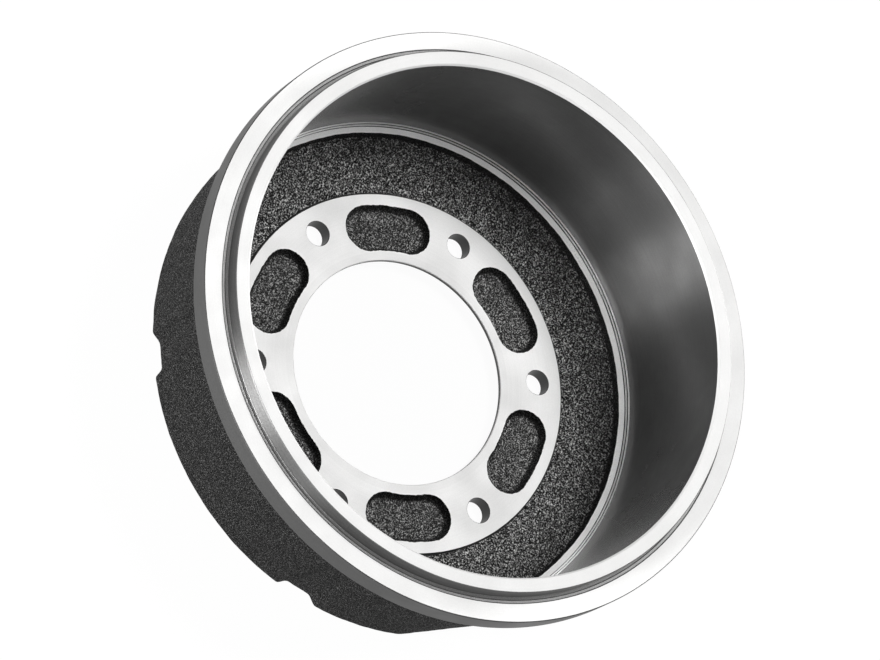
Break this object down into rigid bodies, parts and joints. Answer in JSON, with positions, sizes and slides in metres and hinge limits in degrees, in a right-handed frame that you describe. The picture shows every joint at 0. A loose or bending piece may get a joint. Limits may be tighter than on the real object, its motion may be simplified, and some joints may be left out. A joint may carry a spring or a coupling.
{
  "type": "brake drum",
  "caption": "Cast-iron brake drum: a dished web with a pilot bore, stud holes and kidney pockets, a wide turned barrel for the shoes, and a flanged mouth with a raised lip.",
  "frame": {"origin": "centre of the pilot bore in the plane of the outer mounting face, the face the drum stands on", "axes": "+Z along the drum's axis from the outer mounting face to the open mouth, +X from the axis to a stud hole"},
  "size_m": [0.3699, 0.37, 0.1302],
  "materials": {
    "cast_iron": "raw sand-cast skin outside and on the web, bright turned metal on the flange, lip, hub face and barrel"
  },
  "bodies": {
    "root": {"brake_drum": "cast_iron"}
  },
  "joints": []
}
